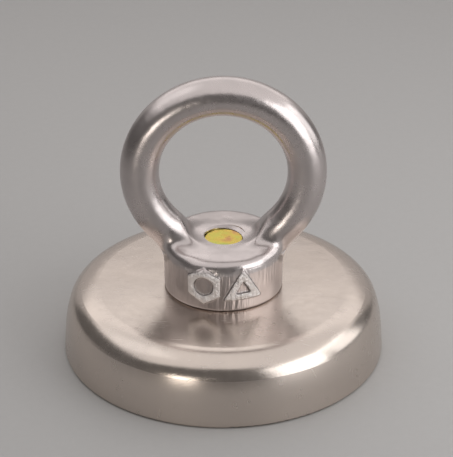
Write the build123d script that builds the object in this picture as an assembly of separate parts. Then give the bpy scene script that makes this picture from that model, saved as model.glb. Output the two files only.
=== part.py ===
from build123d import *

import math
import os

# Magnet fishing magnet: a steel pot magnet with an eye nut screwed onto its bolt.
#
# Millimetres. +Z points out of the top of the pot and through the eye. The origin is the centre
# of the magnetic face, in the plane of the pot's rim. The hole of the eye runs along Y.

# Pot
POT_RADIUS = 21.0
POT_HEIGHT = 9.0
RIM_ROUND = 0.35
SIDE_TOP = (20.78, 3.3)  # radius and height where the drafted side ends
SHOULDER = ((20.2, 6.4), (18.6, 8.4))  # ends of its first two arcs; a third meets the flat top
POCKET_RADIUS = 18.2
POCKET_DEPTH = 5.3
BOLT_HOLE_RADIUS = 3.25

# Ring magnet and its adhesives
MAGNET_RADIUS = 17.4
MAGNET_BORE_RADIUS = 3.5
MAGNET_RECESS = 0.2
MAGNET_CHAMFER = 0.25
BOND_THICKNESS = 0.1
RESIN_RECESS = 0.3

# Eye nut
BOSS_RADIUS = 7.7
BOSS_HEIGHT = 7.0
BOSS_TOP_ROUND = 0.7
BOSS_FOOT_CHAMFER = 0.3
EYE_MEAN_RADIUS = 10.7
EYE_SECTION_RADIUS = 2.5
EYE_CENTRE_HEIGHT = 16.2  # above the top of the pot
LEG_BLEND = 1.8
SEAT_RADIUS = 5.3  # round flat milled between the legs
SEAT_CORNER = 0.8
SEAT_EDGE_ROUND = 1.1
EDGE_SEARCH = 0.5  # how near its expected place the middle of that edge has to be
FOOT_COUNTERSINK = 0.9

# Raised casting marks on the front of the boss: a nut sign and a lift sign
MARK_PROUD = 0.35
MARK_CENTRE_HEIGHT = 3.6
MARK_ANGLE = 19.0  # degrees to each side of the front
NUT_SIGN_RADIUS = 2.55
NUT_SIGN_HOLE = 1.15
LIFT_SIGN_RADIUS = 2.7

# M6 x 1 thread
PITCH = 1.0
NOMINAL_RADIUS = 3.0
BOLT_CREST = 2.94
BOLT_ROOT = 2.40
NUT_CREST = 2.50
NUT_ROOT = 3.04
FLANK_PLAY = 0.03  # each flank stands this far back from the basic profile, along the axis
RIDGE_SINK = 0.2  # how deep a ridge is buried in the metal it stands on
RUN_OUT = 2 * PITCH  # how far a ridge or blank runs past the metal before it is trimmed
SLEEVE_RADIUS = 4.2  # metal of the boss in which the nut's thread is cut
START_ANGLE = 48.0  # where the nut's groove breaks out of the seat

# Countersunk bolt
BOLT_LENGTH = 15.0
END_RECESS = 0.4  # bolt's end below the seat of the eye nut
HEAD_RADIUS = 5.75
HEAD_LAND = 0.3
SOCKET_ACROSS_FLATS = 4.0
SOCKET_DEPTH = 2.0

# Bead of thread-locking compound in the nut's foot
BEAD_GAP = 0.05

CUT_PAST = 1.0  # how far a cutting shape runs past the metal that it cuts

SEAT = POT_HEIGHT + BOSS_HEIGHT
EYE_CENTRE = POT_HEIGHT + EYE_CENTRE_HEIGHT
MAGNET_BACK = POCKET_DEPTH - BOND_THICKNESS
BOLT_END = SEAT - END_RECESS
HEAD_FACE = BOLT_END - BOLT_LENGTH
CONE_FOOT = HEAD_FACE + HEAD_LAND
CONE_TOP = CONE_FOOT + HEAD_RADIUS - BOLT_ROOT

ON_FOOT = (Align.CENTER, Align.CENTER, Align.MIN)


def turned(*points):
    """Solid of revolution about Z from a closed outline of (radius, height) points."""
    outline = Polyline(*[(radius, 0, height) for radius, height in points], close=True)
    return revolve(make_face(outline), Axis.Z)


def upright(radius, foot, top):
    """Round bar about Z between two heights, with its seam turned away from the legs of the eye."""
    return Pos(0, 0, foot) * Rot(0, 0, 90) * Cylinder(radius, top - foot, align=ON_FOOT)


def steel_cup():
    """Pressed pot: rounded rim, drafted side, three-arc shoulder, flat top, magnet pocket."""
    outside = [
        TangentArc((POT_RADIUS - RIM_ROUND, 0, 0), (POT_RADIUS, 0, RIM_ROUND), tangent=(1, 0, 0)),
        Line((POT_RADIUS, 0, RIM_ROUND), (SIDE_TOP[0], 0, SIDE_TOP[1])),
    ]
    for radius, height in SHOULDER:
        last = outside[-1]
        outside.append(TangentArc(last @ 1, (radius, 0, height), tangent=last % 1))
    start = outside[-1] @ 1
    heading = outside[-1] % 1
    bend_radius = (POT_HEIGHT - start.Z) / (1 + heading.X)
    flat_edge = start.X - bend_radius * heading.Z
    outside.append(TangentArc(start, (flat_edge, 0, POT_HEIGHT), tangent=heading))
    inside = Polyline(
        outside[-1] @ 1,
        (BOLT_HOLE_RADIUS, 0, POT_HEIGHT),
        (BOLT_HOLE_RADIUS, 0, POCKET_DEPTH),
        (POCKET_RADIUS, 0, POCKET_DEPTH),
        (POCKET_RADIUS, 0, 0),
        outside[0] @ 0,
    )
    return revolve(make_face([*outside, *inside.edges()]), Axis.Z)


def magnet_ring():
    """Ring magnet with a bore countersunk for the head of the bolt."""
    seat_mouth = HEAD_RADIUS + CONE_FOOT - MAGNET_RECESS
    seat_end = CONE_FOOT + HEAD_RADIUS - MAGNET_BORE_RADIUS
    return turned(
        (seat_mouth, MAGNET_RECESS),
        (MAGNET_RADIUS - MAGNET_CHAMFER, MAGNET_RECESS),
        (MAGNET_RADIUS, MAGNET_RECESS + MAGNET_CHAMFER),
        (MAGNET_RADIUS, MAGNET_BACK - MAGNET_CHAMFER),
        (MAGNET_RADIUS - MAGNET_CHAMFER, MAGNET_BACK),
        (MAGNET_BORE_RADIUS, MAGNET_BACK),
        (MAGNET_BORE_RADIUS, seat_end),
    )


def resin_ring():
    """Cast resin that fills the gap between the magnet and the wall of the pot."""
    return turned(
        (MAGNET_RADIUS, MAGNET_RECESS + RESIN_RECESS),
        (POCKET_RADIUS, MAGNET_RECESS + RESIN_RECESS),
        (POCKET_RADIUS, MAGNET_BACK),
        (MAGNET_RADIUS, MAGNET_BACK),
    )


def magnet_bond():
    """Film of adhesive between the back of the magnet and the floor of the pot."""
    film = upright(POCKET_RADIUS, MAGNET_BACK, POCKET_DEPTH)
    return film - upright(MAGNET_BORE_RADIUS, MAGNET_BACK, POCKET_DEPTH)


def bolt_ridge_half_width(radius):
    """Half the width, along the axis, of the 60 degree bolt ridge at a radius."""
    basic = PITCH / 16 + (NOMINAL_RADIUS - radius) * math.tan(math.radians(30))
    return basic - FLANK_PLAY


def nut_ridge_half_width(radius):
    """Half the width, along the axis, of the nut's ridge between two turns of its groove."""
    return PITCH / 2 - bolt_ridge_half_width(radius) - 2 * FLANK_PLAY


def helical_ridge(buried, crest, half_width, middle, foot, top):
    """Right-hand ridge from below foot to above top, with its middle at a height at START_ANGLE."""
    section = Polyline(
        (buried, 0, -half_width(buried)),
        (crest, 0, -half_width(crest)),
        (crest, 0, half_width(crest)),
        (buried, 0, half_width(buried)),
        close=True,
    )
    start = middle - PITCH * math.ceil((middle - foot) / PITCH)
    path = Helix(PITCH, top + PITCH - start, crest)
    ridge = sweep(make_face(section), path=path, is_frenet=True)
    return Pos(0, 0, start) * Rot(0, 0, START_ANGLE) * ridge


def countersunk_bolt():
    """Fully threaded countersunk screw with a hexagon socket, head down in the magnet."""
    overrun = BOLT_END + RUN_OUT
    blank = turned(
        (0, HEAD_FACE),
        (HEAD_RADIUS, HEAD_FACE),
        (HEAD_RADIUS, CONE_FOOT),
        (BOLT_ROOT, CONE_TOP),
        (BOLT_ROOT, overrun),
        (0, overrun),
    )
    thread_foot = CONE_TOP + PITCH
    ridge = helical_ridge(
        BOLT_ROOT - RIDGE_SINK, BOLT_CREST, bolt_ridge_half_width, SEAT, thread_foot, BOLT_END
    )
    trimmed = turned(
        (0, HEAD_FACE),
        (HEAD_RADIUS, HEAD_FACE),
        (HEAD_RADIUS, BOLT_END - (HEAD_RADIUS - BOLT_ROOT)),
        (BOLT_ROOT, BOLT_END),
        (0, BOLT_END),
    )
    hexagon = RegularPolygon(SOCKET_ACROSS_FLATS / 2, 6, major_radius=False)
    socket = Pos(0, 0, HEAD_FACE) * extrude(hexagon, SOCKET_DEPTH)
    return ((blank + ridge) & trimmed) - socket


def boss_and_ring():
    """Boss and eye of the casting, blended where the legs of the eye meet the boss."""
    boss = upright(BOSS_RADIUS, POT_HEIGHT, SEAT)
    boss = fillet(boss.edges().group_by(Axis.Z)[-1], BOSS_TOP_ROUND)
    boss = chamfer(boss.edges().group_by(Axis.Z)[0], BOSS_FOOT_CHAMFER)
    ring = Pos(0, 0, EYE_CENTRE) * Rot(90, 0, 0) * Torus(EYE_MEAN_RADIUS, EYE_SECTION_RADIUS)
    body = boss + ring
    joints = [edge for edge in body.edges() if edge.geom_type == GeomType.BSPLINE]
    return fillet(joints, LEG_BLEND)


def seat_cutter():
    """Round milling cutter with a soft corner that cuts the flat between the legs."""
    cutter = upright(SEAT_RADIUS, SEAT, EYE_CENTRE)
    return fillet(cutter.edges().group_by(Axis.Z)[0], SEAT_CORNER)


def rounded_above_seat(body):
    """The body with its edge rounded where the cutter left the inside of each leg."""
    inner_radius = EYE_MEAN_RADIUS - EYE_SECTION_RADIUS
    edge_height = EYE_CENTRE - math.sqrt(inner_radius**2 - SEAT_RADIUS**2)
    edges = []
    for side in (-1, 1):
        middle = Vector(side * SEAT_RADIUS, 0, edge_height)
        edges += [edge for edge in body.edges() if (edge.center() - middle).length < EDGE_SEARCH]
    return fillet(edges, SEAT_EDGE_ROUND)


def casting_mark(outline, angle):
    """A sign raised from the side of the boss, to one side of its front."""
    facing = Rot(0, 0, angle) * Pos(0, 0, POT_HEIGHT + MARK_CENTRE_HEIGHT) * Rot(90, 0, 0)
    bar = facing * extrude(outline, BOSS_RADIUS + CUT_PAST)
    shell = upright(BOSS_RADIUS + MARK_PROUD, POT_HEIGHT, SEAT)
    shell = shell - upright(BOSS_RADIUS - MARK_PROUD, POT_HEIGHT, SEAT)
    return bar & shell


def threaded_sleeve():
    """The metal around the bore, from the foot of the nut to its seat, with the nut's thread."""
    foot = POT_HEIGHT - RUN_OUT
    top = SEAT + RUN_OUT
    ridge = helical_ridge(
        NUT_ROOT + RIDGE_SINK, NUT_CREST, nut_ridge_half_width, SEAT + PITCH / 2, foot, top
    )
    sleeve = upright(SLEEVE_RADIUS, foot - PITCH, top + PITCH)
    sleeve = sleeve - upright(NUT_ROOT, foot - PITCH, top + PITCH)
    sleeve = (sleeve + ridge) & upright(BOSS_RADIUS, POT_HEIGHT, SEAT)
    foot_radius = NUT_ROOT + FOOT_COUNTERSINK
    return sleeve - turned(
        (0, POT_HEIGHT), (foot_radius, POT_HEIGHT), (0, POT_HEIGHT + foot_radius)
    )


def eye_nut():
    """Cast eye nut: boss, eye, milled seat, threaded bore, casting marks."""
    nut_sign = RegularPolygon(NUT_SIGN_RADIUS, 6, rotation=30) - Circle(NUT_SIGN_HOLE)
    lift_sign = RegularPolygon(LIFT_SIGN_RADIUS, 3, rotation=90)
    body = boss_and_ring() - seat_cutter()
    body = body - upright(SLEEVE_RADIUS, POT_HEIGHT - CUT_PAST, SEAT + CUT_PAST)
    body = body + threaded_sleeve()
    body = body + casting_mark(nut_sign, -MARK_ANGLE) + casting_mark(lift_sign, MARK_ANGLE)
    return rounded_above_seat(body)


def thread_locker():
    """Cured bead of thread-locking compound in the countersink at the foot of the nut."""
    inner = BOLT_CREST + BEAD_GAP
    foot = POT_HEIGHT + BEAD_GAP
    outer = NUT_ROOT + FOOT_COUNTERSINK - BEAD_GAP * (1 + math.sqrt(2))
    return turned((inner, foot), (outer, foot), (inner, foot + outer - inner))


PIECES = (
    steel_cup,
    magnet_ring,
    resin_ring,
    magnet_bond,
    countersunk_bolt,
    eye_nut,
    thread_locker,
)

os.makedirs("parts", exist_ok=True)
for piece in PIECES:
    export_step(piece(), f"parts/{piece.__name__}.step")
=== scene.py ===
import bmesh
import bpy
import math
import numpy as np
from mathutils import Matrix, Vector

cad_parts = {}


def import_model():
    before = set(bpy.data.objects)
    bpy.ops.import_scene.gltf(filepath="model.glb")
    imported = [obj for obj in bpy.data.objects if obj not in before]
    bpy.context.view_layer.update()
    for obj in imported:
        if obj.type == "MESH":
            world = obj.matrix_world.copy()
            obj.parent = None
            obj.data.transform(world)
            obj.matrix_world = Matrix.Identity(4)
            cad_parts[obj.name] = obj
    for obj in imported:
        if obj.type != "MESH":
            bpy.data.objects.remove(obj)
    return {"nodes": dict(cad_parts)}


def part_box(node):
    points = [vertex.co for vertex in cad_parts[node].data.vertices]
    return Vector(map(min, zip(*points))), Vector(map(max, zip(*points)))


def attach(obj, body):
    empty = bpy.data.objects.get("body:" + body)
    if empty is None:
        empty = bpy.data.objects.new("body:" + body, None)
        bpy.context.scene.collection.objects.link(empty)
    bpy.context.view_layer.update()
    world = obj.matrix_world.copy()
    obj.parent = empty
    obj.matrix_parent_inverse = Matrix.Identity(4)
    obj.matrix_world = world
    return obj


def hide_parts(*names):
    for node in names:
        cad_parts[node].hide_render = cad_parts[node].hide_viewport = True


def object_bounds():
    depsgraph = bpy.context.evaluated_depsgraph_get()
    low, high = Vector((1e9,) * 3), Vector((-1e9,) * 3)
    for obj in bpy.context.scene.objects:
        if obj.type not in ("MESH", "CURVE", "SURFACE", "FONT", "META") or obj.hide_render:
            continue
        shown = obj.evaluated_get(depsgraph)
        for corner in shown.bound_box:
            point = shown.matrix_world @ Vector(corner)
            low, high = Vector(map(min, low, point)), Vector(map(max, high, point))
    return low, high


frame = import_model()
cad_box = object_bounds()

MM = 0.001
MICRON = 0.000001

# Places read from the frame, in metres
nut_low, nut_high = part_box("eye_nut")
POT_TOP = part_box("steel_cup")[1].z

# Camera: a long lens in front of the object, looking down on it
CAMERA_DISTANCE = 0.280
CAMERA_PITCH = math.radians(28.5)
CAMERA_AIM = Vector((0.0004, 0.0, 0.0170))
CAMERA_LENS = 170.65  # millimetres

# Light panels
LIT_POINT = Vector((0, 0, 0.015))  # all but the overhead panel stand around this and face it
PANEL_POWER = math.pi  # watts from a square metre of panel, at a brightness of 1

# Floor, in metres
FLOOR_REACH = 1.2
FLOOR_GAP = 0.00002  # how far the floor lies below the pot, so that the two faces don't fight

# Eye nut, in millimetres from the middle of its foot
RING_SECTION = 2.5  # radius of the ring's round section
RING_RADIUS = (nut_high.x - nut_low.x) / 2 / MM - RING_SECTION
RING_HEIGHT = (nut_high.z - POT_TOP) / MM - RING_RADIUS - RING_SECTION
BOSS_RADIUS = nut_high.y / MM
BOSS_HEIGHT = 7.0
BOSS_TOP_ROUND = 1.15
BOSS_FOOT_ROUND = 0.4
SEAT_RADIUS = 4.25
SEAT_LEAN = math.radians(12)
SEAT_CUT_TOP = 12.0  # the ring's inner side is milled away up to here
LEG_EDGE_ROUND = 0.9
LEG_BLEND = 2.6  # reach of the blend between a leg of the ring and the boss
MARK_PROUD = 0.35  # how far the two signs stand out of the boss
MARK_HEIGHT = 3.6
MARK_ANGLE = math.radians(19)  # from the front to the middle of each sign
MARK_ROUND = 0.30
MARK_FILLET = 0.10
NUT_SIGN_APOTHEM = 2.2
NUT_SIGN_HOLE = 1.25
LIFT_SIGN_APOTHEM = 1.5
LIFT_SIGN_HOLE = 0.55
LIFT_SIGN_DROP = 0.35
WAVES = 14  # plane waves added up in a bumpy surface
SIGN_BUMPS = (0.5, 1.1)  # shortest and longest wave
SIGN_BUMP_DEPTH = 0.07
RIM_BUMPS = (3.0, 7.0)
RIM_BUMP_DEPTH = 0.35
RIM_EVEN_BACK = 0.5  # behind this share of the boss's radius the rim has no bumps

# Mesh of the eye nut, in millimetres
MESH_STEP = 0.18
MESH_MARGIN = 0.39
FLATTEST = 0.05  # a smaller squared slope counts as this, so that no point is thrown far
SLIVER = 0.003  # edges shorter than this are closed up after the bore is cut
SHARP_ANGLE = math.radians(40)  # edges sharper than this aren't shaded smooth

# Bore of the eye nut, M6 x 1, in millimetres
PITCH = 1.0
NUT_CREST = 2.50
NUT_ROOT = 3.04
NUT_CREST_HALF_WIDTH = 0.119
THREAD_FLANK = math.tan(math.radians(30))
START_ANGLE = math.radians(48)
FOOT_COUNTERSINK = 0.9
TAP_BELOW = 0.6  # how far the tap runs past the foot and past the seat
TAP_ABOVE = 1.2
TAP_STEP = 1 / 24
TAP_SIDES = 96

# Where the boss's look changes, both its plating and the painted shade at the foot of the signs, in
# millimetres, each from none to full
SIGN_FOOT_SHADE = (0.015, 0.06)  # out from the wall: the foot of a sign gets painted shade
SIGN_FACE = (0.12, 0.22)  # out from the wall: a sign gets bright and rough
MARKED_BAND = (5.9, 5.2)  # above the pot: signs and streaks are only below this
STREAKED_WALL = (6.9, 7.4)  # out from the axis: the wall gets streaks

LATHE_STEP = 0.22  # millimetres between the turning marks on the bolt's end


def mesh_object(name, points, faces):
    mesh = bpy.data.meshes.new(name)
    mesh.from_pydata(points.tolist(), [], faces)
    mesh.update()
    body = bpy.data.objects.new(name, mesh)
    bpy.context.scene.collection.objects.link(body)
    return body


# ---------------------------------------------------------------- shape of the eye nut

def union(a, b, radius):
    """Distance to both bodies, with a fillet of that radius where they meet."""
    near = np.hypot(np.maximum(radius - a, 0), np.maximum(radius - b, 0))
    return np.maximum(radius, np.minimum(a, b)) - near


def meet(a, b, radius):
    """Distance to what both bodies share, with its edge rounded."""
    return -union(-a, -b, radius)


def blend(a, b, reach):
    """Distance to both bodies, which flow into each other within that reach."""
    share = np.maximum(reach - np.abs(a - b), 0) / reach
    return np.minimum(a, b) - share**3 * reach / 6


def polygon(u, v, sides, apothem, first):
    """Distance to a regular polygon with the middle of a side in the direction first."""
    sector = 2 * math.pi / sides
    turn = np.mod(np.arctan2(v, u) - first + sector / 2, sector) - sector / 2
    return np.hypot(u, v) * np.cos(turn) - apothem


def bumpy(x, y, z, lengths, seed):
    """Smooth random bumps from 0 to 1, as a mould leaves them: plane waves of those lengths."""
    chance = np.random.default_rng(seed)
    total = 0
    for _ in range(WAVES):
        way = chance.normal(size=3)
        way *= 2 * math.pi / np.linalg.norm(way) / chance.uniform(*lengths)
        total = total + np.sin(way[0] * x + way[1] * y + way[2] * z + chance.uniform(0, 2 * math.pi))
    return 0.5 + 0.5 * np.tanh(total / math.sqrt(WAVES))


def nut_sign(u, v):
    """Distance to a hexagon nut with its hole, seen from above."""
    return np.maximum(polygon(u, v, 6, NUT_SIGN_APOTHEM, 0), NUT_SIGN_HOLE - np.hypot(u, v))


def lift_sign(u, v):
    """Distance to a triangle that stands on a side and has a triangular hole."""
    down = -math.pi / 2
    v = v + LIFT_SIGN_DROP
    outside = polygon(u, v, 3, LIFT_SIGN_APOTHEM, down)
    hole = polygon(u, v, 3, LIFT_SIGN_HOLE, down)
    return np.maximum(outside, -hole)


def casting_marks(x, y, z):
    """Distance to the two raised signs on the front of the boss."""
    off_wall = np.abs(np.hypot(x, y) - BOSS_RADIUS) - MARK_PROUD
    off_wall = off_wall + SIGN_BUMP_DEPTH * bumpy(x, y, z, SIGN_BUMPS, seed=7)
    marks = []
    for side, outline in ((-1, nut_sign), (1, lift_sign)):
        along = (np.arctan2(x, -y) - side * MARK_ANGLE) * BOSS_RADIUS
        marks.append(meet(outline(along, z - MARK_HEIGHT), off_wall, MARK_ROUND))
    return np.minimum(*marks)


def casting(x, y, z):
    """Distance to the solid casting, without its bore: boss, ring and signs."""
    radius = np.hypot(x, y)
    near_rim = np.clip((radius - SEAT_RADIUS) / (BOSS_RADIUS - SEAT_RADIUS), 0, 1)**2
    at_front = np.clip(RIM_EVEN_BACK - y / BOSS_RADIUS, 0, 1)
    sunk = RIM_BUMP_DEPTH * near_rim * at_front * bumpy(x, y, 0, RIM_BUMPS, seed=3)
    boss = meet(radius - BOSS_RADIUS, z - BOSS_HEIGHT + sunk, BOSS_TOP_ROUND)
    boss = meet(boss, -z, BOSS_FOOT_ROUND)
    ring = np.hypot(np.hypot(x, z - RING_HEIGHT) - RING_RADIUS, y) - RING_SECTION
    wall = radius - SEAT_RADIUS - (z - BOSS_HEIGHT) * math.tan(SEAT_LEAN)
    cut = np.maximum(wall * math.cos(SEAT_LEAN), z - SEAT_CUT_TOP)
    legs = meet(ring, -cut, LEG_EDGE_ROUND)
    body = blend(boss, legs, LEG_BLEND)
    return union(body, casting_marks(x, y, z), MARK_FILLET)


def slope(field, points, reach=0.02):
    """How the field changes along each axis, at each point."""
    steps = []
    for axis in np.eye(3) * reach:
        steps.append((field(*(points + axis).T) - field(*(points - axis).T)) / (2 * reach))
    return np.stack(steps, 1)


def settled(field, points, times):
    """The points moved onto the surface where the field is zero."""
    for _ in range(times):
        gradient = slope(field, points)
        steepness = np.maximum((gradient**2).sum(1), FLATTEST)
        points = points - (field(*points.T) / steepness)[:, None] * gradient
    return points


def surface_net(field, lowest, highest, step):
    """One point in each cell of a grid that the surface crosses, and the quads between them."""
    axes = [np.arange(a, b + step, step) for a, b in zip(lowest, highest)]
    inside = field(*np.meshgrid(*axes, indexing="ij", sparse=True)) < 0
    cells = np.array(inside.shape) - 1
    corners = np.zeros(cells, np.int8)
    for i, j, k in np.ndindex(2, 2, 2):
        corners += inside[i:cells[0] + i, j:cells[1] + j, k:cells[2] + k]
    crossed = (corners > 0) & (corners < 8)
    number = np.full(cells, -1)
    number[crossed] = np.arange(crossed.sum())
    points = np.array(lowest) + (np.argwhere(crossed) + 0.5) * step
    quads = []
    for axis in range(3):
        second, third = (axis + 1) % 3, (axis + 2) % 3
        here = np.take(inside, np.arange(cells[axis]), axis)
        there = np.take(inside, np.arange(1, cells[axis] + 1), axis)
        edges = np.argwhere(here != there)
        leaving = here[tuple(edges.T)]
        ring = []
        for back, down in ((0, 0), (1, 0), (1, 1), (0, 1)):
            cell = edges.copy()
            cell[:, second] -= back
            cell[:, third] -= down
            ring.append(number[tuple(cell.T)])
        quad = np.stack(ring, 1)
        quad[~leaving] = quad[~leaving][:, ::-1]
        quads.append(quad)
    return points, np.concatenate(quads)


def evened(field, points, quads, rounds):
    """The points spread evenly over the surface."""
    uses = np.bincount(quads.ravel(), minlength=len(points))[:, None]
    for _ in range(rounds):
        middles = points[quads].mean(1)
        total = np.zeros_like(points)
        for corner in range(4):
            np.add.at(total, quads[:, corner], middles)
        points = settled(field, total / uses, times=2)
    return points


def thread_tap():
    """The shape of the threaded bore, with the countersink at its foot, to cut with."""
    heights = np.arange(-TAP_BELOW, BOSS_HEIGHT + TAP_ABOVE, TAP_STEP)
    angles = np.arange(TAP_SIDES) * 2 * math.pi / TAP_SIDES
    z, angle = np.meshgrid(heights, angles, indexing="ij")
    crest = BOSS_HEIGHT + PITCH / 2 + PITCH * (angle - START_ANGLE) / (2 * math.pi)
    from_crest = np.abs(np.mod(z - crest + PITCH / 2, PITCH) - PITCH / 2)
    radius = NUT_CREST + (from_crest - NUT_CREST_HALF_WIDTH) / THREAD_FLANK
    radius = np.clip(radius, NUT_CREST, NUT_ROOT)
    radius = np.maximum(radius, NUT_ROOT + FOOT_COUNTERSINK - z)
    wall = np.stack([radius * np.cos(angle), radius * np.sin(angle), z], -1).reshape(-1, 3)
    points = np.concatenate([wall, [[0, 0, heights[0]], [0, 0, heights[-1]]]])
    index = np.arange(len(wall)).reshape(len(heights), TAP_SIDES)
    after = np.roll(index, -1, 1)
    quads = np.stack([index[:-1], after[:-1], after[1:], index[1:]], -1).reshape(-1, 4)
    foot = [[after[0, i], index[0, i], len(wall)] for i in range(TAP_SIDES)]
    top = [[index[-1, i], after[-1, i], len(wall) + 1] for i in range(TAP_SIDES)]
    faces = quads.tolist() + np.array(foot + top).tolist()
    return mesh_object("thread_tap", in_frame(points), faces)


def in_frame(points):
    """From millimetres above the pot to metres in the shared frame."""
    return points * MM + np.array([0, 0, POT_TOP])


def close_slivers(mesh):
    """Removes the needle-thin faces that a cut leaves along its edge."""
    work = bmesh.new()
    work.from_mesh(mesh)
    bmesh.ops.triangulate(work, faces=work.faces)
    bmesh.ops.dissolve_degenerate(work, dist=SLIVER * MM, edges=work.edges)
    bmesh.ops.triangulate(work, faces=work.faces)
    work.to_mesh(mesh)
    work.free()


def cast_eye_nut():
    """The eye nut as one closed mesh: the casting, with its thread cut out of it."""
    reach = RING_RADIUS + RING_SECTION + MESH_MARGIN
    depth = BOSS_RADIUS + MARK_PROUD + MESH_MARGIN
    lowest = (-reach, -depth, -MESH_MARGIN)
    highest = (reach, depth, RING_HEIGHT + reach)
    points, quads = surface_net(casting, lowest, highest, MESH_STEP)
    points = settled(casting, points, times=4)
    points = evened(casting, points, quads, rounds=3)
    solid = mesh_object("casting_blank", in_frame(points), quads.tolist())
    tap = thread_tap()
    cut = solid.modifiers.new("bore", "BOOLEAN")
    cut.operation = "DIFFERENCE"
    cut.solver = "EXACT"
    cut.object = tap
    graph = bpy.context.evaluated_depsgraph_get()
    mesh = bpy.data.meshes.new_from_object(solid.evaluated_get(graph))
    mesh.name = "cast_eye_nut"
    close_slivers(mesh)
    nut = bpy.data.objects.new("cast_eye_nut", mesh)
    bpy.context.scene.collection.objects.link(nut)
    for helper in (solid, tap):
        bpy.data.objects.remove(helper)
    mesh.shade_smooth()
    mesh.set_sharp_from_angle(angle=SHARP_ANGLE)
    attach(nut, "eye")
    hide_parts("eye_nut")
    return nut


# ---------------------------------------------------------------- materials

def new_material(name):
    material = bpy.data.materials.new(name)
    material.use_nodes = True
    return material, material.node_tree, material.node_tree.nodes["Principled BSDF"]


def add(tree, kind, settings=None, **inputs):
    """A node of that kind. Its inputs, named with _ for a space, are values or sockets to link."""
    made = tree.nodes.new(kind)
    for name, value in (settings or {}).items():
        setattr(made, name, value)
    for name, value in inputs.items():
        numbered = name[1:].isdigit()
        socket = made.inputs[int(name[1:]) if numbered else name.replace("_", " ")]
        connect(tree, value, socket)
    return made


def connect(tree, value, socket):
    if isinstance(value, bpy.types.NodeSocket):
        tree.links.new(value, socket)
    else:
        socket.default_value = value


def place(tree, scale=(1, 1, 1)):
    """Object coordinates, in units of 1/scale metres."""
    where = add(tree, "ShaderNodeTexCoord").outputs["Object"]
    return add(tree, "ShaderNodeMapping", Vector=where, Scale=scale).outputs[0]


def noise(tree, scale, detail=2.0, where=None, stretch=(1, 1, 1), rough=0.5):
    """Grey noise with features of about 1/scale metres."""
    spot = place(tree, stretch) if where is None else where
    made = add(tree, "ShaderNodeTexNoise", Vector=spot, Scale=scale, Detail=detail, Roughness=rough)
    return made.outputs["Fac"]


def ramp(tree, value, start, end, low_out=0.0, high_out=1.0):
    """The value between start and end spread over low_out to high_out, and held outside."""
    made = add(tree, "ShaderNodeMapRange", Value=value, _1=start, _2=end, _3=low_out, _4=high_out)
    return made.outputs[0]


def smooth_ramp(tree, value, start, end):
    """From 0 at the start to 1 at the end, without a kink."""
    made = add(tree, "ShaderNodeMapRange", {"interpolation_type": "SMOOTHSTEP"},
               Value=value, _1=start, _2=end, _3=0.0, _4=1.0)
    return made.outputs[0]


def maths(tree, operation, a, b=0.0):
    return add(tree, "ShaderNodeMath", {"operation": operation}, _0=a, _1=b).outputs[0]


def mix_colours(tree, share, a, b):
    made = add(tree, "ShaderNodeMix", {"data_type": "RGBA"}, _0=share)
    connect(tree, a, made.inputs[6])
    connect(tree, b, made.inputs[7])
    return made.outputs[2]


def bump(tree, height, depth, normal=None):
    """A bump of that depth in microns, on top of the bump that normal comes from."""
    made = add(tree, "ShaderNodeBump", Strength=1.0, Distance=depth * MICRON, Height=height)
    if normal is not None:
        tree.links.new(normal, made.inputs["Normal"])
    return made.outputs[0]


def from_axis(tree):
    """Distance from the Z axis, and height, as sockets."""
    where = add(tree, "ShaderNodeTexCoord").outputs["Object"]
    flat = add(tree, "ShaderNodeVectorMath", {"operation": "MULTIPLY"}, _0=where, _1=(1, 1, 0))
    length = add(tree, "ShaderNodeVectorMath", {"operation": "LENGTH"}, _0=flat.outputs[0])
    height = add(tree, "ShaderNodeSeparateXYZ", Vector=where)
    return length.outputs["Value"], height.outputs["Z"]


def scratches(tree, scale, stretch, turn, amount, edge=0.04):
    """Thin straight scratches in one direction: 1 in a scratch, 0 elsewhere."""
    where = add(tree, "ShaderNodeTexCoord").outputs["Object"]
    turned = add(tree, "ShaderNodeMapping", Vector=where, Rotation=turn, Scale=stretch).outputs[0]
    grain = noise(tree, scale, 1.0, where=turned)
    return ramp(tree, grain, 1 - amount, 1 - amount + edge)


def satin_pot():
    """Satin nickel plate on the pressed pot."""
    material, tree, bsdf = new_material("satin_nickel_pot")
    cloud = noise(tree, 110, 3.0)
    mottle = noise(tree, 900, 2.0)
    speck = noise(tree, 6500, 1.0)
    marks = maths(tree, "MAXIMUM",
                  scratches(tree, 420, (1, 14, 1), (0, 0, 0.6), 0.27),
                  scratches(tree, 380, (1, 16, 1), (0, 0, 2.1), 0.26))
    tint = ramp(tree, cloud, 0.35, 0.7)
    tint = mix_colours(tree, tint, (0.66, 0.58, 0.52, 1), (0.615, 0.545, 0.495, 1))
    tint = mix_colours(tree, ramp(tree, mottle, 0.62, 0.8, 0, 0.25), tint, (0.50, 0.44, 0.39, 1))
    connect(tree, tint, bsdf.inputs["Base Color"])
    bsdf.inputs["Metallic"].default_value = 1
    rough = maths(tree, "ADD", ramp(tree, cloud, 0.3, 0.7, 0.19, 0.26), ramp(tree, marks, 0, 1, 0, 0.06))
    rough = maths(tree, "ADD", rough, ramp(tree, mottle, 0.4, 0.8, 0, 0.05))
    connect(tree, rough, bsdf.inputs["Roughness"])
    dents = bump(tree, cloud, 60)
    skin = bump(tree, speck, 2.2, dents)
    scratched = bump(tree, maths(tree, "MULTIPLY", marks, -1.0), 1.5, skin)
    connect(tree, scratched, bsdf.inputs["Normal"])
    return material


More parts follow.
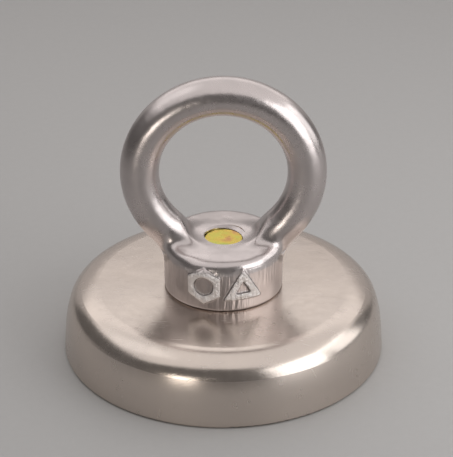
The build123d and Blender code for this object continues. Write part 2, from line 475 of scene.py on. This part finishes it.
def satin_casting():
    """Satin nickel plate on the casting: soft waves, draw streaks on the boss, rough signs, and painted
    shade at the foot of each sign.
    """
    material, tree, bsdf = new_material("satin_nickel_casting")
    radius, height = from_axis(tree)
    off_wall = maths(tree, "SUBTRACT", radius, BOSS_RADIUS * MM)
    below_seat = ramp(tree, height, *(POT_TOP + edge * MM for edge in MARKED_BAND))
    sign = smooth_ramp(tree, off_wall, *(edge * MM for edge in SIGN_FACE))
    sign = maths(tree, "MULTIPLY", sign, below_seat)
    side = ramp(tree, radius, *(edge * MM for edge in STREAKED_WALL))
    side = maths(tree, "MULTIPLY", below_seat, side)
    wave = noise(tree, 260, 2.0)
    mottle = noise(tree, 1500, 3.0)
    speck = noise(tree, 3200, 2.0)
    streak = noise(tree, 2900, 2.0, stretch=(1, 1, 0.06))
    streak_area = smooth_ramp(tree, noise(tree, 150, 0.0), 0.3, 0.55)
    streak_area = maths(tree, "MULTIPLY", side, streak_area)
    grit = noise(tree, 2400, 3.0, rough=0.75)
    tint = ramp(tree, wave, 0.3, 0.7)
    tint = mix_colours(tree, tint, (0.595, 0.54, 0.53, 1), (0.53, 0.485, 0.475, 1))
    tint = mix_colours(tree, ramp(tree, mottle, 0.55, 0.8, 0, 0.15), tint, (0.50, 0.45, 0.43, 1))
    # Painted shade: the foot of each sign, where it leaves the wall, is darkened in colour as if shade
    # fell there
    foot = smooth_ramp(tree, off_wall, *(edge * MM for edge in SIGN_FOOT_SHADE))
    foot = maths(tree, "MULTIPLY", maths(tree, "MULTIPLY", foot, below_seat), 0.75)
    tint = mix_colours(tree, foot, tint, (0.20, 0.18, 0.17, 1))
    tint = mix_colours(tree, sign, tint, (0.92, 0.88, 0.86, 1))
    connect(tree, tint, bsdf.inputs["Base Color"])
    bsdf.inputs["Metallic"].default_value = 1
    rough = maths(tree, "ADD", ramp(tree, wave, 0.3, 0.7, 0.25, 0.31), ramp(tree, sign, 0, 1, 0, 0.13))
    rough = maths(tree, "ADD", rough, ramp(tree, mottle, 0.45, 0.8, 0, 0.06))
    rough = maths(tree, "ADD", rough, ramp(tree, side, 0, 1, 0, 0.09))
    connect(tree, rough, bsdf.inputs["Roughness"])
    waves = bump(tree, wave, 120)
    skin = bump(tree, speck, 1.5, waves)
    streaks = bump(tree, maths(tree, "MULTIPLY", streak, streak_area), 220, skin)
    rough_sign = bump(tree, maths(tree, "MULTIPLY", grit, sign), 500, streaks)
    connect(tree, rough_sign, bsdf.inputs["Normal"])
    return material


def yellow_zinc():
    """Iridescent yellow passivated zinc on the bolt, with turning marks on its end."""
    material, tree, bsdf = new_material("yellow_zinc")
    radius, _ = from_axis(tree)
    drift = noise(tree, 420, 3.0)
    film = add(tree, "ShaderNodeValToRGB", Fac=drift)
    band = film.color_ramp
    band.elements[0].position = 0.30
    band.elements[0].color = (0.62, 0.33, 0.14, 1)
    band.elements[1].position = 0.74
    band.elements[1].color = (0.42, 0.50, 0.20, 1)
    between = (
        (0.42, (0.72, 0.52, 0.12, 1)),
        (0.52, (0.66, 0.58, 0.12, 1)),
        (0.62, (0.52, 0.56, 0.14, 1)),
    )
    for position, colour in between:
        stop = band.elements.new(position)
        stop.color = colour
    connect(tree, film.outputs["Color"], bsdf.inputs["Base Color"])
    bsdf.inputs["Metallic"].default_value = 1
    connect(tree, ramp(tree, noise(tree, 1800, 2.0), 0.3, 0.7, 0.26, 0.40), bsdf.inputs["Roughness"])
    turning = maths(tree, "SINE", maths(tree, "MULTIPLY", radius, 2 * math.pi / (LATHE_STEP * MM)))
    lathe = bump(tree, turning, 3)
    connect(tree, bump(tree, noise(tree, 3000, 3.0), 30, lathe), bsdf.inputs["Normal"])
    return material


def bright_magnet():
    """Bright nickel on the ring magnet, with grinding marks and a few chips."""
    material, tree, bsdf = new_material("bright_nickel_magnet")
    cloud = noise(tree, 160, 2.0)
    lines = noise(tree, 700, 2.0, stretch=(1, 30, 1))
    chips = noise(tree, 1500, 1.0)
    dark = ramp(tree, chips, 0.72, 0.76)
    tint = mix_colours(tree, cloud, (0.72, 0.70, 0.67, 1), (0.64, 0.62, 0.60, 1))
    tint = mix_colours(tree, dark, tint, (0.25, 0.23, 0.21, 1))
    connect(tree, tint, bsdf.inputs["Base Color"])
    bsdf.inputs["Metallic"].default_value = 1
    rough = maths(tree, "ADD", ramp(tree, lines, 0.3, 0.7, 0.12, 0.22), ramp(tree, dark, 0, 1, 0, 0.3))
    connect(tree, rough, bsdf.inputs["Roughness"])
    ground = bump(tree, lines, 6)
    chipped = bump(tree, maths(tree, "MULTIPLY", dark, -1.0), 40, ground)
    connect(tree, chipped, bsdf.inputs["Normal"])
    return material


def black_resin():
    """Cast black resin with specks, pinholes and an uneven gloss."""
    material, tree, bsdf = new_material("cast_black_resin")
    specks = ramp(tree, noise(tree, 5000, 1.0), 0.66, 0.72)
    tint = mix_colours(tree, specks, (0.012, 0.012, 0.014, 1), (0.07, 0.065, 0.06, 1))
    connect(tree, tint, bsdf.inputs["Base Color"])
    connect(tree, ramp(tree, noise(tree, 500, 3.0), 0.3, 0.7, 0.22, 0.48), bsdf.inputs["Roughness"])
    holes = add(tree, "ShaderNodeTexVoronoi", Vector=place(tree), Scale=900).outputs["Distance"]
    flow = bump(tree, noise(tree, 400, 2.0), 120)
    connect(tree, bump(tree, ramp(tree, holes, 0.08, 0.16), 60, flow), bsdf.inputs["Normal"])
    return material


def cured_film():
    """Amber structural adhesive."""
    material, tree, bsdf = new_material("cured_adhesive")
    cloud = noise(tree, 600, 3.0)
    tint = mix_colours(tree, cloud, (0.20, 0.15, 0.08, 1), (0.12, 0.09, 0.05, 1))
    connect(tree, tint, bsdf.inputs["Base Color"])
    connect(tree, ramp(tree, noise(tree, 2500, 2.0), 0.3, 0.7, 0.35, 0.6), bsdf.inputs["Roughness"])
    connect(tree, bump(tree, cloud, 50), bsdf.inputs["Normal"])
    return material


def locking_compound():
    """Blue thread-locking compound, cured to a wrinkled skin."""
    material, tree, bsdf = new_material("cured_thread_locker")
    cloud = noise(tree, 2200, 3.0)
    tint = mix_colours(tree, cloud, (0.02, 0.09, 0.42, 1), (0.05, 0.18, 0.60, 1))
    connect(tree, tint, bsdf.inputs["Base Color"])
    connect(tree, ramp(tree, noise(tree, 4000, 2.0), 0.3, 0.7, 0.2, 0.45), bsdf.inputs["Roughness"])
    bsdf.inputs["Transmission Weight"].default_value = 0.15
    connect(tree, bump(tree, cloud, 50), bsdf.inputs["Normal"])
    return material


def pale_floor():
    """Plain grey floor with a fine grain."""
    material, tree, bsdf = new_material("pale_floor")
    fine = noise(tree, 900, 4.0)
    tint = mix_colours(tree, fine, (0.43, 0.425, 0.42, 1), (0.41, 0.405, 0.40, 1))
    connect(tree, tint, bsdf.inputs["Base Color"])
    bsdf.inputs["Roughness"].default_value = 0.65
    connect(tree, bump(tree, fine, 30), bsdf.inputs["Normal"])
    return material


def dress(body, material):
    body.data.materials.clear()
    body.data.materials.append(material)


# ---------------------------------------------------------------- stage

def camera():
    data = bpy.data.cameras.new("camera")
    data.lens = CAMERA_LENS
    data.clip_start = 0.01
    body = bpy.data.objects.new("camera", data)
    back = Vector((0, -math.cos(CAMERA_PITCH), math.sin(CAMERA_PITCH)))
    body.location = CAMERA_AIM + back * CAMERA_DISTANCE
    body.rotation_euler = (math.pi / 2 - CAMERA_PITCH, 0, 0)
    bpy.context.scene.collection.objects.link(body)
    bpy.context.scene.camera = body


def around(azimuth, elevation, distance):
    """Point at that distance from the object. Azimuth 0 is the camera's side, 90 the right."""
    a, e = math.radians(azimuth), math.radians(elevation)
    away = Vector((math.sin(a) * math.cos(e), -math.cos(a) * math.cos(e), math.sin(e)))
    return LIT_POINT + away * distance


def panel(name, centre, size, brightness, colour=(1, 1, 1), aim=LIT_POINT):
    """Light panel that faces a point. Its power follows its area, so brightness is how bright
    it looks, whatever its size."""
    data = bpy.data.lights.new(name, "AREA")
    data.shape = "RECTANGLE"
    data.size, data.size_y = size
    data.energy = brightness * PANEL_POWER * size[0] * size[1]
    data.color = colour
    lamp = bpy.data.objects.new(name, data)
    lamp.location = centre
    lamp.rotation_euler = (Vector(centre) - Vector(aim)).to_track_quat("Z", "Y").to_euler()
    lamp.visible_camera = False
    bpy.context.scene.collection.objects.link(lamp)


def world(colour, strength):
    studio = bpy.data.worlds.new("studio")
    studio.use_nodes = True
    background = studio.node_tree.nodes["Background"]
    background.inputs["Color"].default_value = (*colour, 1)
    background.inputs["Strength"].default_value = strength
    bpy.context.scene.world = studio
    bpy.context.scene.view_settings.view_transform = "Standard"


def floor():
    """A square under the object, centred on its axis."""
    height = cad_box[0].z - FLOOR_GAP
    square = ((-1, -1), (1, -1), (1, 1), (-1, 1))
    corners = np.array([(x * FLOOR_REACH, y * FLOOR_REACH, height) for x, y in square])
    plane = mesh_object("floor", corners, [(0, 1, 2, 3)])
    dress(plane, pale_floor())


NODES = frame["nodes"]
dress(cast_eye_nut(), satin_casting())
dress(NODES["steel_cup"], satin_pot())
dress(NODES["countersunk_bolt"], yellow_zinc())
dress(NODES["magnet_ring"], bright_magnet())
dress(NODES["resin_ring"], black_resin())
dress(NODES["magnet_bond"], cured_film())
dress(NODES["thread_locker"], locking_compound())

camera()
floor()
world(colour=(1.0, 0.96, 0.94), strength=0.13)
# The overhead panel lies level, but for a hair that settles which way its sides run
panel("overhead", (0, 0.040, 0.105), (0.30, 0.26), brightness=0.80, colour=(1.0, 0.97, 0.96),
      aim=(0, 0.0399, 0))
panel("back", around(180, 22, 0.24), (0.50, 0.24), brightness=0.33, colour=(1.0, 0.95, 0.93))
panel("key_right", around(54, 17, 0.17), (0.125, 0.125), brightness=2.4)
panel("side_right", around(95, 20, 0.18), (0.09, 0.12), brightness=1.6)
panel("side_left", around(-100, 52, 0.16), (0.09, 0.10), brightness=0.35)
panel("left_front", around(-27, 1, 0.20), (0.06, 0.034), brightness=5.0, colour=(1.0, 0.94, 0.86))
